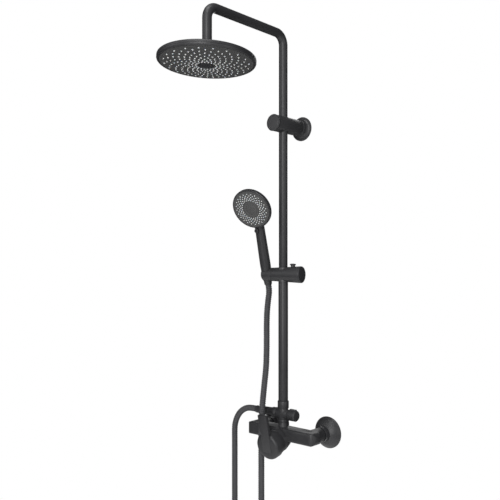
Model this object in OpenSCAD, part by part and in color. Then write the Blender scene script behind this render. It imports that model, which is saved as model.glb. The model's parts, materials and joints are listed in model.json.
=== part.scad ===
// Wall-mounted rainfall shower column: a bar mixer on two wall inlets, a diverter,
// a two-piece riser with its arm, a ball-jointed rain head, a wall bracket, and a
// hand shower with its hose on a sliding, swivelling and tilting holder.
// Row frame: X along the wall to the right, -Y into the room, +Z up.
// The origin lies on the wall, midway between the two inlets.

/* [Column] */
// Distance from the wall to the riser's axis
stand_off = 71; // [64:1:85]
// Height of the arm's axis above the inlets
arm_height = 908; // [860:4:1120]
// Reach of the arm, from the riser's axis to the drop's axis
arm_reach = 243; // [190:1:300]
// Outside diameter of the upper tube, with the arm and the drop
upper_d = 20; // [16:0.5:21]
// Outside diameter of the lower tube
lower_d = 22; // [22:0.5:24]
// Wall thickness of both tubes
tube_wall = 0.8; // [0.6:0.1:1.2]
// Radius of both bends, on the tube's axis
bend_r = 25; // [22:1:40]
// Height where the lower tube ends and the upper tube starts
joint_height = 372; // [340:1:420]
// Length of the drop, from the arm's axis to the tube's lower end
drop_len = 77; // [60:1:120]

/* [Rain head] */
// Diameter of the rain head
head_d = 202; // [150:1:260]
// Thickness of the head at its rim
head_rim = 12; // [9:0.5:16]
// How far the middle of the spray face stands below its edge
head_crown = 6; // [2:0.5:9]
// Lean of the head in its ball joint, front edge up
head_lean = 4; // [0:0.5:6]
// Diameter of the plain disc in the middle of the spray face
head_disc_d = 32; // [20:1:50]
// Diameter of the swivel nut
swivel_nut_d = 29; // [27:0.5:34]
// Radius of the ball
ball_r = 9.5; // [8.5:0.25:10]

/* [Wall bracket] */
// Height of the bracket above the inlets
bracket_height = 703; // [600:1:820]
// Diameter of the bracket's barrel
bracket_d = 37; // [32:0.5:42]
// Diameter of the bracket's rose at the wall
bracket_rose_d = 56; // [50:1:70]
// How far the barrel reaches in front of the riser's axis
bracket_front = 32; // [26:1:42]

/* [Slider and holder] */
// Height of the slider's barrel above the inlets
slider_height = 361; // [345:1:365]
// Diameter of the slider's barrel at its right end
slider_d = 38; // [35:0.5:42]
// Diameter of the barrel at its left end, and of the holder
holder_d = 31; // [30:0.5:34]
// Distance from the riser's axis to the right end of the barrel
slider_right = 45; // [38:1:56]
// Distance from the riser's axis to the axis of the hand shower's socket
socket_offset = 43; // [42:0.5:52]
// Angle that the slider is turned on the riser, left end into the room
slider_turn = 11; // [0:1:30]
// Lean of the hand shower into the room
holder_lean = 17; // [10:1:30]

/* [Hand shower] */
// Diameter of the hand shower's head
hand_d = 94; // [79:1:116]
// Thickness of the head behind its spray face
hand_thick = 13; // [12:0.5:18]
// Distance from the socket's middle to the head's middle, along the handle
hand_reach = 160; // [150:1:190]
// How far the head's middle stands in front of the handle's axis
hand_forward = 25; // [20:0.5:30]
// Angle between the spray face and the handle
face_angle = 13; // [5:1:20]
// Diameter of the handle at its lower end
handle_low_d = 24.5; // [23:0.5:25]
// Diameter of the handle at its neck
handle_top_d = 22; // [18:0.5:24]

/* [Mixer] */
// Distance between the two inlets
inlet_pitch = 150; // [142:1:160]
// Length of the mixer's bar
bar_len = 198; // [192:1:220]
// Height of the bar
bar_h = 29; // [27:0.5:34]
// Depth of the bar, front to back
bar_w = 36; // [34:0.5:42]
// Diameter of the two roses at the wall
rose_d = 72; // [62:1:76]
// How far each rose domes off the wall
rose_depth = 23; // [18:0.5:26]
// Downward lean of the lever's axis
lever_lean = 13; // [0:1:18]
// How far the lever's axis starts below the bar's axis
lever_drop = 9; // [0:0.5:10]
// Diameter of the lever's cap
cap_d = 61; // [56:1:64]
// Length of the lever's blade above the cap's middle
blade_len = 75; // [50:1:90]
// Width of the lever's blade
blade_w = 24; // [18:0.5:30]

/* [Diverter] */
// Height of the diverter's cross axis above the inlets
diverter_height = 42.5; // [42:0.5:52]
// Diameter of the diverter's body
diverter_d = 23; // [22:0.5:26]
// Diameter of the diverter's knob
knob_d = 24.5; // [22:0.5:28]
// Length of the diverter's knob
knob_len = 21; // [16:0.5:26]

/* [Hose] */
// Outside diameter of the hose
hose_d = 14.5; // [12:0.5:15]
// Length of the hose's tapered nut at the diverter
hose_nut_len = 44; // [36:1:50]

/* [Hidden] */
$fn = 64;

// Clearances and small shared sizes
run_gap = 0.05;
soft_gap = 0.3;
seat_gap = 0.1;
thread_half_r = 10.48;
bore_r = 7;
black = [0.10, 0.10, 0.11];
soft_black = [0.14, 0.14, 0.15];
brass = [0.72, 0.58, 0.30];
grey = [0.80, 0.80, 0.80];
steel = [0.62, 0.63, 0.65];

// Heights and places worked out from the driving sizes
upper_ri = upper_d / 2 - tube_wall;
lower_ri = lower_d / 2 - tube_wall;
drop_y = -(stand_off + arm_reach);
ball_z = arm_height - drop_len - 14;
head_top = -14;
head_face_z = head_top - head_rim;
nut_top_z = arm_height - drop_len + 4;
slider_r = slider_d / 2;
holder_r = holder_d / 2;
socket_top_r = 12.6;
socket_low_r = 10.2;
socket_half = 17;
// Height of the hand shower head's upright side
hand_side = 8;
slider_split = -26;
holder_left = -(socket_offset + 9);
bush_or = lower_d / 2 + 1.6;
cap_r = cap_d / 2;
shroud_r = cap_r - 1.8;
tip_z = 35;
housing_r = cap_r - 3.5;
housing_w = 27;
neck_top = diverter_height - diverter_d / 2 - 2;
collar_low = diverter_height + diverter_d / 2 + 2;
collar_h = 16;
cap_back = tip_z + 4.5;
cap_front = tip_z + 25;
cartridge_r = 20;
neck_r = 16;
cheek_x = 5;
pin_r = 1.5;
stem_half = 4;
screw_z = tip_z + 9.5;
blade_t = 9;
stub_r = bore_r + 2.2;
stub_h = 8;
anchor_r = 9;
cap_stub_r = 9;
grub_y = 24;
leg_r = 17;
leg_back = 26;
nipple_end = 25;
nipple_r = 8.5;
selector_r = 4;
washer_r = 8.4;
hose_start = nipple_end + hose_nut_len + 11;

// Route of the hose: out of the diverter's nut, over and down, round its loop and
// up to the nut under the holder. Round numbers chosen by hand.
hose_route = [
    [-80.1, -71, 42.5], [-95, -71, 42.5], [-110, -71, 40.5], [-123, -71, 35], [-134.5, -71, 26],
    [-143.5, -71, 14], [-149.5, -71, 0], [-152, -71, -16], [-152, -71, -60], [-152, -71, -130],
    [-152, -71, -200], [-152, -72, -270], [-152, -72, -340], [-152, -73, -400],
    [-152, -73, -445], [-148, -74, -467], [-136, -77, -487], [-118, -81, -499.5],
    [-96.5, -86, -504], [-75, -91, -499.5], [-57, -95, -487], [-45, -98, -467],
    [-41, -99, -445], [-41, -100, -400], [-41, -100, -340], [-41, -100, -270], [-41, -100, -200],
    [-41, -100, -130], [-41, -100, -60], [-41, -100, 0], [-40.5, -98, 50], [-39, -93, 100],
    [-39, -86, 145], [-41.5, -81, 180], [-44.5, -77, 215], [-47, -74, 245],
    [-48.5, -71, 272], [-47.8, -68.5, 297], [-45, -68, 319], [-43.5, -72.2, 337.7]
];

// A ring about Z with its middle at z0
module ring(r_out, r_in, z0, z1) {
    translate([0, 0, z0]) difference() {
        cylinder(r = r_out, h = z1 - z0);
        translate([0, 0, -1]) cylinder(r = r_in, h = z1 - z0 + 2);
    }
}

// Places a shape that is drawn about Z so that its Z points into the room
module out_of_wall(x, z) {
    translate([x, 0, z]) rotate([90, 0, 0]) children();
}

// Places a shape that is drawn about Z so that its Z points along +X
module along_x(y, z) {
    translate([0, y, z]) rotate([0, 90, 0]) children();
}

// Places what is drawn about the riser's axis
module at_riser() {
    translate([0, -stand_off, 0]) children();
}

// Places what is drawn about the lever's axis: Z out along the axis, Y up the blade
module at_lever() {
    translate([0, -stand_off, -lever_drop]) rotate([90 + lever_lean, 0, 0]) children();
}

// Places what is drawn about the slider's middle: X to its right end
module at_slider() {
    translate([0, -stand_off, slider_height]) rotate([0, 0, slider_turn]) children();
}

// Places what is drawn about the socket: Z up the handle, -Y to the front
module at_socket() {
    at_slider() translate([-socket_offset, 0, 0]) rotate([holder_lean, 0, 0]) children();
}

// Places the selector's push button: Z into the handle, from the button's outer face
module at_selector(neck) {
    at_socket() translate([0, -handle_top_d / 2 - 7.5, neck - 7]) rotate([-90, 0, 0]) children();
}

// Places what is drawn about the hand shower's spray face: Z out of the face
module at_hand_face() {
    at_socket() translate([0, -hand_forward, hand_reach]) rotate([90 + face_angle, 0, 0]) children();
}

// Places what is drawn about the ball joint, plumb
module at_ball() {
    translate([0, drop_y, ball_z]) children();
}

// Places what leans with the rain head
module at_head() {
    at_ball() rotate([-head_lean, 0, 0]) children();
}

// A rectangle with round corners, centred
module round_rect(w, h, r) {
    square([w - 2 * r, h], center = true);
    square([w, h - 2 * r], center = true);
    for (sx = [-1, 1], sy = [-1, 1])
        translate([sx * (w / 2 - r), sy * (h / 2 - r)]) circle(r = r);
}

// Mixer ------------------------------------------------------------------------

// Plan of the bar, with its front corners swept round to the legs
module bar_plan() {
    translate([0, -stand_off]) round_rect(bar_len, bar_w, bar_w / 2 - 1);
}

module mixer_body() {
    color(black) difference() {
        union() {
            intersection() {
                translate([0, 0, -bar_h / 2]) linear_extrude(bar_h) bar_plan();
                translate([-bar_len / 2, -stand_off, 0]) rotate([90, 0, 90])
                    linear_extrude(bar_len) round_rect(bar_w, bar_h, 6);
                translate([0, -stand_off + bar_w / 2, 0]) rotate([90, 0, 0])
                    linear_extrude(bar_w) round_rect(bar_len, bar_h, bar_h / 2 - 1);
            }
            for (side = [-1, 1])
                out_of_wall(side * inlet_pitch / 2, 0) {
                    translate([0, 0, leg_back]) cylinder(r = leg_r - 3, h = stand_off - leg_back);
                    translate([0, 0, leg_back + 8]) cylinder(r = leg_r - 1, h = stand_off - leg_back - 8);
                    translate([0, 0, stand_off]) cylinder(r1 = leg_r - 1, r2 = leg_r - 5, h = bar_w / 2 - 4);
                }
            at_lever() cylinder(r1 = housing_r - 4, r2 = housing_r, h = 16);
            at_lever() translate([0, 0, 16]) cylinder(r = housing_r, h = housing_w - 16);
            at_riser() cylinder(r = lower_d / 2, h = neck_top - 4);
        }
        for (side = [-1, 1])
            out_of_wall(side * inlet_pitch / 2, 0) cylinder(r = bore_r + 1, h = stand_off);
        for (side = [-1, 1])
            along_x(-stand_off, 0) translate([0, 0, side > 0 ? 24 : -inlet_pitch / 2])
                cylinder(r = bore_r - 1, h = inlet_pitch / 2 - 24);
        at_lever() cylinder(r = cartridge_r + run_gap, h = 40);
        at_riser() translate([0, 0, 9]) cylinder(r = bore_r, h = neck_top);
        at_riser() translate([0, 0, neck_top - stub_h - seat_gap])
            cylinder(r = stub_r + seat_gap, h = stub_h);
    }
}

module inlet_union(side) {
    color(brass) out_of_wall(side * inlet_pitch / 2, 0) difference() {
        union() {
            translate([0, 0, -14]) cylinder(r = thread_half_r, h = 14.5);
            cylinder(r = 13, h = 10);
            translate([0, 0, 9]) cylinder(r = 11.8, h = leg_back - 9 - 2);
        }
        translate([0, 0, -15]) cylinder(r = bore_r, h = leg_back + 16);
    }
}

module inlet_nut(side) {
    color(black) out_of_wall(side * inlet_pitch / 2, 0) difference() {
        translate([0, 0, 12]) cylinder(r = leg_r, h = leg_back - 8);
        translate([0, 0, 11]) cylinder(r = 11.8 + seat_gap, h = leg_back - 13);
        translate([0, 0, leg_back - 2]) cylinder(r = leg_r - 3 + seat_gap, h = 7);
    }
}

module inlet_washer(side) {
    color(soft_black) out_of_wall(side * inlet_pitch / 2, 0)
        ring(11.7, bore_r + 1, leg_back - 2, leg_back);
}

// Spherical dome, hollow, open at its crown for the nut
module inlet_rose(side) {
    base_r = rose_d / 2;
    ball = (pow(base_r, 2) + pow(rose_depth, 2)) / (2 * rose_depth);
    color(black) out_of_wall(side * inlet_pitch / 2, 0) difference() {
        intersection() {
            translate([0, 0, rose_depth - ball]) sphere(r = ball, $fn = 128);
            cylinder(r = base_r + 1, h = rose_depth - 3);
        }
        translate([0, 0, rose_depth - ball]) sphere(r = ball - 1.6, $fn = 128);
        translate([0, 0, 5]) cylinder(r = leg_r + seat_gap, h = rose_depth);
    }
}

module cartridge() {
    color(grey) at_lever() difference() {
        union() {
            translate([0, 0, 0.2]) cylinder(r = cartridge_r, h = 20);
            translate([0, 0, 20]) cylinder(r = neck_r, h = 12);
        }
        translate([0, 0, 12]) cylinder(r = bore_r, h = 24);
    }
}

module cartridge_nut() {
    color(brass) at_lever() ring(cartridge_r - seat_gap, neck_r + seat_gap, 20.4, 27);
}

// Ball-shaped cover ring, so that the lever's skirt clears it as it tips
module cartridge_shroud() {
    color(black) at_lever() difference() {
        intersection() {
            translate([0, 0, tip_z]) sphere(r = shroud_r - soft_gap, $fn = 128);
            translate([0, 0, housing_w]) cylinder(r = cap_r, h = tip_z - housing_w + 6);
        }
        translate([0, 0, housing_w - 1]) cylinder(r = cartridge_r, h = 30);
    }
}

// Turns in the cartridge for temperature and holds the stem between two cheeks
module cartridge_rotor() {
    color(grey) at_lever() difference() {
        translate([0, 0, 12.2]) cylinder(r = bore_r - run_gap, h = tip_z + 3 - 12.2);
        translate([-cheek_x, -bore_r, 25]) cube([2 * cheek_x, 2 * bore_r, tip_z]);
        translate([-bore_r, 0, tip_z]) rotate([0, 90, 0]) cylinder(r = pin_r + seat_gap, h = 2 * bore_r);
    }
}

module stem_pin() {
    color(steel) at_lever() translate([-6, 0, tip_z]) rotate([0, 90, 0]) cylinder(r = pin_r, h = 12);
}

// Round where it tips on its pin, square where the lever fits on it
module cartridge_stem() {
    color(grey) at_lever() difference() {
        union() {
            translate([0, 0, tip_z - 9]) cylinder(r = 4.5, h = 11);
            translate([-stem_half, -stem_half, tip_z + 1]) cube([2 * stem_half, 2 * stem_half, 11]);
        }
        translate([-6, 0, tip_z]) rotate([0, 90, 0]) cylinder(r = pin_r + run_gap, h = 12);
    }
}

// Cap with its skirt, a boss for the stem, and the flat blade that rises from it
module mixer_lever() {
    skirt = 11;
    socket_half_w = stem_half + seat_gap;
    color(black) at_lever() difference() {
        union() {
            difference() {
                union() {
                    translate([0, 0, cap_back]) cylinder(r = cap_r, h = cap_front - cap_back - 5);
                    translate([0, 0, cap_front - 5]) cylinder(r1 = cap_r, r2 = cap_r - 5, h = 5);
                }
                translate([0, 0, cap_back - 1]) cylinder(r = shroud_r, h = skirt + 1);
            }
            translate([0, 0, tip_z + 6.5]) cylinder(r = 10, h = cap_back + skirt - tip_z - 5.5);
            translate([-blade_w / 2, 0, cap_front - 8]) cube([blade_w, blade_len - blade_w / 2, blade_t]);
            translate([0, blade_len - blade_w / 2, cap_front - 8]) cylinder(d = blade_w, h = blade_t);
        }
        translate([-socket_half_w, -socket_half_w, tip_z])
            cube([2 * socket_half_w, 2 * socket_half_w, 12.2]);
        translate([0, -stem_half, screw_z]) rotate([90, 0, 0]) cylinder(r = 2.4 + seat_gap, h = cap_r);
    }
}

module lever_set_screw() {
    color(steel) at_lever() translate([0, -stem_half - run_gap, screw_z]) rotate([90, 0, 0])
        cylinder(r = 2.4, h = 5.5);
}

// Diverter ---------------------------------------------------------------------

module diverter_body() {
    color(black) difference() {
        union() {
            at_riser() translate([0, 0, neck_top]) cylinder(d = diverter_d, h = collar_low - neck_top);
            at_riser() translate([0, 0, collar_low - 1]) cylinder(r = thread_half_r, h = 12);
            along_x(-stand_off, diverter_height) translate([0, 0, -15]) cylinder(d = diverter_d, h = 32);
            along_x(-stand_off, diverter_height) translate([0, 0, -nipple_end]) cylinder(r = thread_half_r - 2, h = 12);
            at_riser() translate([0, 0, neck_top - stub_h]) cylinder(r = stub_r, h = stub_h + 1);
        }
        at_riser() translate([0, 0, neck_top - 9]) cylinder(r = bore_r, h = 70);
        along_x(-stand_off, diverter_height) translate([0, 0, -nipple_end - 1]) cylinder(r = bore_r - 1.5, h = 30);
        along_x(-stand_off, diverter_height) cylinder(r = 5 + seat_gap, h = 20);
    }
}

module diverter_lower_nut() {
    color(black) at_riser() difference() {
        translate([0, 0, neck_top - 3.8]) cylinder(r = diverter_d / 2 + 1.2, h = 5.7);
        translate([0, 0, neck_top - 10]) cylinder(r = stub_r + seat_gap, h = 10.1);
        translate([0, 0, neck_top]) cylinder(r = diverter_d / 2 + seat_gap, h = 10);
    }
}

module diverter_upper_nut() {
    color(black) at_riser() difference() {
        translate([0, 0, collar_low + 0.4]) cylinder(r = lower_d / 2 + 1.8, h = collar_h);
        translate([0, 0, collar_low - 1]) cylinder(r = thread_half_r + seat_gap, h = 12.2);
        translate([0, 0, collar_low + 11]) cylinder(r = lower_d / 2 + seat_gap, h = collar_h);
    }
}

module diverter_spindle() {
    color(brass) along_x(-stand_off, diverter_height) {
        cylinder(r = 5, h = 19);
        translate([0, 0, 18]) cylinder(r = 3.4, h = 14);
    }
}

module diverter_seal() {
    color(soft_black) along_x(-stand_off, diverter_height) ring(10.5, 5 + seat_gap, 17, 18);
}

// Round knob with a flat grip along its top
module diverter_knob() {
    color(black) along_x(-stand_off, diverter_height) difference() {
        union() {
            translate([0, 0, 18.3]) cylinder(d = knob_d, h = knob_len - 2);
            translate([0, 0, 16.3 + knob_len]) cylinder(r1 = knob_d / 2, r2 = knob_d / 2 - 2, h = 2);
            translate([-knob_d / 2 - 2, -3, 20.3]) cube([knob_d / 2 + 2, 6, knob_len - 4]);
        }
        translate([0, 0, 17]) cylinder(r = 5 + seat_gap, h = 2.2);
        translate([0, 0, 17]) cylinder(r = 3.4 + seat_gap, h = 15.2);
    }
}

// Riser, arm and coupling --------------------------------------------------------

module lower_tube() {
    color(black) at_riser() ring(lower_d / 2, lower_ri, collar_low + 11.4, joint_height);
}

// The upper tube's solid shape at one radius: riser, bend, arm, bend and drop
module upper_solid(r, low, over) {
    arm_run = arm_reach - 2 * bend_r;
    at_riser() {
        translate([0, 0, low]) cylinder(r = r, h = arm_height - bend_r - low);
        translate([0, -bend_r, arm_height - bend_r]) rotate([90, 0, 90])
            rotate_extrude(angle = 90, $fn = 96) translate([bend_r, 0]) circle(r = r);
        translate([0, -bend_r, arm_height]) rotate([90, 0, 0]) cylinder(r = r, h = arm_run);
        translate([0, -bend_r - arm_run, arm_height - bend_r]) rotate([90, 0, 90])
            rotate([0, 0, 90]) rotate_extrude(angle = 90, $fn = 96) translate([bend_r, 0]) circle(r = r);
        translate([0, -arm_reach, arm_height - drop_len - over])
            cylinder(r = r, h = drop_len - bend_r + over);
    }
}

module upper_tube() {
    color(black) difference() {
        upper_solid(upper_d / 2, joint_height + 0.2, 0);
        upper_solid(upper_ri, joint_height - 1, 1);
    }
}

module tube_coupling() {
    color(brass) at_riser() difference() {
        union() {
            translate([0, 0, joint_height - 26]) cylinder(r = lower_ri - seat_gap, h = 26);
            translate([0, 0, joint_height]) cylinder(r = upper_ri - seat_gap, h = 26);
        }
        for (z = [-18, -9])
            ring(lower_ri + 1, lower_ri - 1.5, joint_height + z - 1, joint_height + z + 1);
        translate([0, 0, joint_height - 27]) cylinder(r = bore_r, h = 54);
    }
}

module coupling_seals() {
    color(soft_black) at_riser() for (z = [-18, -9])
        ring(lower_ri - 0.02, lower_ri - 1.45, joint_height + z - 0.9, joint_height + z + 0.9);
}

// Wall bracket --------------------------------------------------------------------

// Bell-shaped rose: a wide flat foot that sweeps in to the barrel
module bracket_rose() {
    foot = bracket_rose_d / 2;
    neck = bracket_d / 2;
    sweep = foot - neck - 1;
    color(black) out_of_wall(0, bracket_height) rotate_extrude($fn = 96) difference() {
        union() {
            square([foot, 4]);
            square([neck + 1, 18]);
            difference() {
                translate([neck, 3]) square([sweep + 1, sweep]);
                translate([foot, 4 + sweep]) circle(r = sweep);
            }
        }
        translate([-1, -1]) square([neck - 1, 7]);
        translate([-1, 3]) square([anchor_r + 1 + soft_gap, 20]);
    }
}

module bracket_anchor() {
    color(steel) out_of_wall(0, bracket_height) difference() {
        union() {
            cylinder(r = bracket_d / 2 - 4, h = 4);
            translate([0, 0, 3]) cylinder(r = anchor_r, h = 27);
        }
        translate([0, 0, -1]) cylinder(r = 2.75, h = 40);
        translate([0, 0, 12]) cylinder(r = 5.5, h = 20);
    }
}

module bracket_barrel() {
    color(black) difference() {
        out_of_wall(0, bracket_height) translate([0, 0, 18.3])
            cylinder(d = bracket_d, h = stand_off + bracket_front - 18.3);
        out_of_wall(0, bracket_height) translate([0, 0, 17]) cylinder(r = anchor_r + seat_gap, h = 13.4);
        at_riser() translate([0, 0, bracket_height - bracket_d]) cylinder(r = upper_d / 2 + 1.6, h = 2 * bracket_d);
        out_of_wall(0, bracket_height) translate([0, 0, stand_off + bracket_front - 3])
            cylinder(r = cap_stub_r + seat_gap, h = 4);
        translate([0, -grub_y, bracket_height - bracket_d / 2 - 1])
            cylinder(r = 2.5 + seat_gap, h = bracket_d / 2 - 4);
    }
}

module bracket_sleeve() {
    half = bracket_d / 2 - 2;
    color(soft_black) at_riser()
        ring(upper_d / 2 + 1.6 - run_gap, upper_d / 2 + run_gap, bracket_height - half, bracket_height + half);
}

module bracket_cap() {
    face = stand_off + bracket_front;
    color(black) out_of_wall(0, bracket_height) {
        translate([0, 0, face + 0.2]) cylinder(d = bracket_d + 1, h = 3);
        translate([0, 0, face + 3.2]) cylinder(r1 = bracket_d / 2 + 0.5, r2 = bracket_d / 2 - 0.8, h = 1.3);
        translate([0, 0, face - 2.8]) cylinder(r = cap_stub_r, h = 3.1);
    }
}

module bracket_grub_screw() {
    color(steel) translate([0, -grub_y, bracket_height - anchor_r - run_gap - 6]) cylinder(r = 2.5, h = 6);
}

// Rain head -------------------------------------------------------------------------

module swivel_nut() {
    color(black) at_ball() difference() {
        union() {
            translate([0, 0, -7]) cylinder(d = swivel_nut_d, h = nut_top_z - ball_z + 5);
            translate([0, 0, nut_top_z - ball_z - 2]) cylinder(r1 = swivel_nut_d / 2, r2 = swivel_nut_d / 2 - 2, h = 2);
        }
        intersection() {
            sphere(r = ball_r + 1, $fn = 96);
            translate([0, 0, 20]) cube(40, center = true);
        }
        sphere(r = ball_r + run_gap, $fn = 96);
        translate([0, 0, -10]) cylinder(r = ball_r - 0.9, h = 8);
        cylinder(r = 8, h = 20);
        translate([0, 0, 12]) cylinder(r = upper_d / 2 + seat_gap, h = 20);
    }
}

// Cup over the ball, part of the joint's inner ring
module ball_seat() {
    color(grey) at_ball() difference() {
        sphere(r = ball_r + 1 - run_gap, $fn = 96);
        sphere(r = ball_r + run_gap, $fn = 96);
        translate([0, 0, -20]) cylinder(r = 20, h = 22.5);
        cylinder(r = 5, h = 20);
    }
}

module swivel_ball() {
    color(brass) at_head() difference() {
        union() {
            sphere(r = ball_r, $fn = 96);
            translate([0, 0, head_top - 3.5]) cylinder(r = 5.5, h = -head_top + 3.5);
            translate([0, 0, head_top - 3.5]) cylinder(r = 9, h = 2.4);
        }
        translate([0, 0, head_top - 5]) cylinder(r = 3.6, h = 40);
    }
}

// Thin round shell, closed above, with a raised seat for the ball's neck
module head_shell() {
    rim = head_rim / 2;
    color(black) at_head() difference() {
        union() {
            translate([0, 0, head_face_z]) cylinder(r = head_d / 2 - rim * 0.6, h = head_rim);
            translate([0, 0, head_face_z + 0.2 * head_rim]) cylinder(r = head_d / 2, h = head_rim * 0.6);
            translate([0, 0, head_top - 0.5]) cylinder(r = 12, h = 2.5);
        }
        translate([0, 0, head_face_z - 1]) cylinder(r = head_d / 2 - 5, h = head_rim - 1.8);
        translate([0, 0, head_top - 4]) cylinder(r = 9 + seat_gap, h = 3);
        translate([0, 0, head_top - 4]) cylinder(r = 5.5 + seat_gap, h = 10);
    }
}

// Part of a ball whose crown stands head_crown below its edge at radius r
module crowned_disc(r, crown, thick, z0) {
    ball = (pow(r, 2) + pow(crown, 2)) / (2 * crown);
    intersection() {
        translate([0, 0, z0 - crown + ball]) sphere(r = ball, $fn = 128);
        translate([0, 0, z0 - crown]) cylinder(r = r, h = crown + thick);
    }
}

module head_nozzle_mat() {
    color(grey) at_head() ring(head_d / 2 - 7, head_disc_d / 2 + soft_gap, head_face_z + 4.3, head_face_z + 6.5);
}

module head_face() {
    color(soft_black) at_head() difference() {
        crowned_disc(head_d / 2 - 5.3, head_crown, 4, head_face_z + 0.1);
        translate([0, 0, head_face_z - head_crown - 1]) cylinder(d = head_disc_d + 2 * seat_gap, h = 30);
    }
}

module head_disc() {
    color(black) at_head() translate([0, 0, head_face_z - head_crown + 0.4])
        cylinder(d = head_disc_d, h = head_crown + 7);
}

// Slider and holder -------------------------------------------------------------------

module slider_bush() {
    color(soft_black) at_riser()
        ring(bush_or - run_gap, lower_d / 2 + run_gap, slider_height - slider_r + 3, slider_height + slider_r - 3);
}

module slider_barrel() {
    color(black) at_slider() difference() {
        rotate([0, 90, 0]) translate([0, 0, slider_split])
            cylinder(r1 = holder_r, r2 = slider_r, h = slider_right - slider_split);
        translate([0, 0, -slider_d]) cylinder(r = bush_or, h = 2 * slider_d);
        translate([25, 0, 3]) cylinder(r = 5 + seat_gap, h = slider_d);
        rotate([0, 90, 0]) translate([0, 0, slider_split - 1]) cylinder(r = 3, h = 12);
        rotate([0, 90, 0]) translate([0, 0, slider_right - 4]) cylinder(r = 10 + seat_gap, h = 5);
    }
}

module slider_cap() {
    color(black) at_slider() rotate([0, 90, 0]) {
        translate([0, 0, slider_right + 0.2]) cylinder(r1 = slider_r, r2 = slider_r - 2, h = 3.5);
        translate([0, 0, slider_right - 3.8]) cylinder(r = 10, h = 4.1);
    }
}

module slider_button() {
    crown = slider_r + 6;
    color(black) at_slider() translate([25, 0, 0]) {
        translate([0, 0, 10]) cylinder(r = 5, h = slider_r - 8);
        intersection() {
            translate([0, 0, crown - 8.6]) sphere(r = 8.6, $fn = 64);
            translate([0, 0, slider_r + 2]) cylinder(r = 7.2, h = 10);
        }
    }
}

module slider_spring() {
    color(steel) at_slider() translate([25, 0, 0]) ring(3.6, 2.4, 3.2, 9.8);
}

// Left end of the barrel: a tapered socket, open at its left side for the hose
module holder() {
    color(black) difference() {
        at_slider() rotate([0, 90, 0]) union() {
            translate([0, 0, holder_left + 3]) cylinder(r = holder_r, h = slider_split - soft_gap - holder_left - 3);
            translate([0, 0, holder_left]) cylinder(r1 = holder_r - 3, r2 = holder_r, h = 3);
        }
        at_socket() translate([0, 0, -socket_half]) cylinder(r1 = socket_low_r, r2 = socket_top_r, h = 2 * socket_half);
        at_slider() rotate([0, 90, 0]) translate([0, 0, slider_split - 3.5]) cylinder(r = 3 + run_gap, h = 5);
    }
}

module holder_axle() {
    color(steel) at_slider() rotate([0, 90, 0]) translate([0, 0, slider_split - 3.2]) cylinder(r = 3, h = 14);
}

// Hand shower ----------------------------------------------------------------------------

// Handle and head in one shell
module hand_shell() {
    neck = hand_reach - hand_d / 2 + 2;
    color(black) difference() {
        union() {
            at_socket() translate([0, 0, 20]) cylinder(r1 = handle_low_d / 2, r2 = handle_top_d / 2, h = neck - 20);
            at_socket() translate([0, 0, 6]) cylinder(r1 = socket_top_r - 1.1, r2 = handle_low_d / 2, h = 14);
            at_socket() translate([0, 0, neck]) sphere(d = handle_top_d, $fn = 64);
            at_socket() translate([0, 0, neck]) rotate([24, 0, 0])
                cylinder(r1 = handle_top_d / 2, r2 = handle_top_d / 2 - 3, h = 30);
            at_hand_face() translate([0, 0, -hand_thick]) cylinder(r1 = hand_d / 2 - 10, r2 = hand_d / 2, h = hand_thick - hand_side);
            at_hand_face() translate([0, 0, -hand_side]) cylinder(d = hand_d, h = hand_side);
        }
        at_hand_face() translate([0, 0, -3]) cylinder(r = hand_d / 2 - 3, h = 4);
        at_hand_face() translate([0, 0, -7]) cylinder(r = hand_d / 2 - 8, h = 6);
        at_socket() translate([0, 0, -1]) cylinder(r = 6.5, h = neck);
        at_socket() translate([0, 0, 5]) cylinder(r = nipple_r + seat_gap, h = 8);
        at_selector(neck) cylinder(r = selector_r + 0.1, h = 11);
    }
}

module hand_nozzle_mat() {
    color(grey) at_hand_face() translate([0, 0, -6.8]) ring(hand_d / 2 - 8.3, 20, 0, 3);
}

module hand_face() {
    color(soft_black) at_hand_face() difference() {
        translate([0, 0, -2.8]) cylinder(r = hand_d / 2 - 3.2, h = 3.2);
        translate([0, 0, -4]) cylinder(r = 19 + seat_gap, h = 8);
    }
}

module hand_disc() {
    color(black) at_hand_face() translate([0, 0, -6.6]) cylinder(r = 19, h = 7.2);
}

module hand_selector() {
    color(black) at_selector(hand_reach - hand_d / 2 + 2) {
        cylinder(r = selector_r, h = 8.6);
        cylinder(r = selector_r + 1.4, h = 3.6);
    }
}

module hand_nipple() {
    color(brass) at_socket() difference() {
        translate([0, 0, -6]) cylinder(r = nipple_r, h = 18.8);
        translate([0, 0, -7]) cylinder(r = 5, h = 30);
    }
}

// Hose ----------------------------------------------------------------------------------

// Tapered nut that seats in the holder's socket
module hose_top_nut() {
    taper = (socket_top_r - socket_low_r) / (2 * socket_half);
    low_r = socket_low_r - soft_gap - 1.2;
    high_r = socket_low_r + taper * (socket_half + 5.8) - soft_gap;
    color(black) at_socket() difference() {
        translate([0, 0, -24]) cylinder(r1 = low_r, r2 = high_r, h = 29.8);
        translate([0, 0, -8]) cylinder(r = nipple_r + seat_gap, h = 16);
        translate([0, 0, -22]) cylinder(r = 5.6, h = 20);
    }
}

module hose_low_nut() {
    color(black) along_x(-stand_off, diverter_height) rotate([180, 0, 0]) difference() {
        union() {
            translate([0, 0, 15.3]) cylinder(r = 12.4, h = 14, $fn = 8);
            translate([0, 0, 29.2]) cylinder(r1 = 10.6, r2 = 8.4, h = hose_start - 29.2);
        }
        translate([0, 0, 15]) cylinder(r = thread_half_r - 2 + seat_gap, h = 12.2);
        translate([0, 0, 14]) cylinder(r = 5.5, h = hose_start - 16);
    }
}

module hose_low_washer() {
    color(soft_black) along_x(-stand_off, diverter_height) rotate([180, 0, 0])
        ring(washer_r, 5.6, nipple_end + 0.2, 27.1);
}

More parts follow.
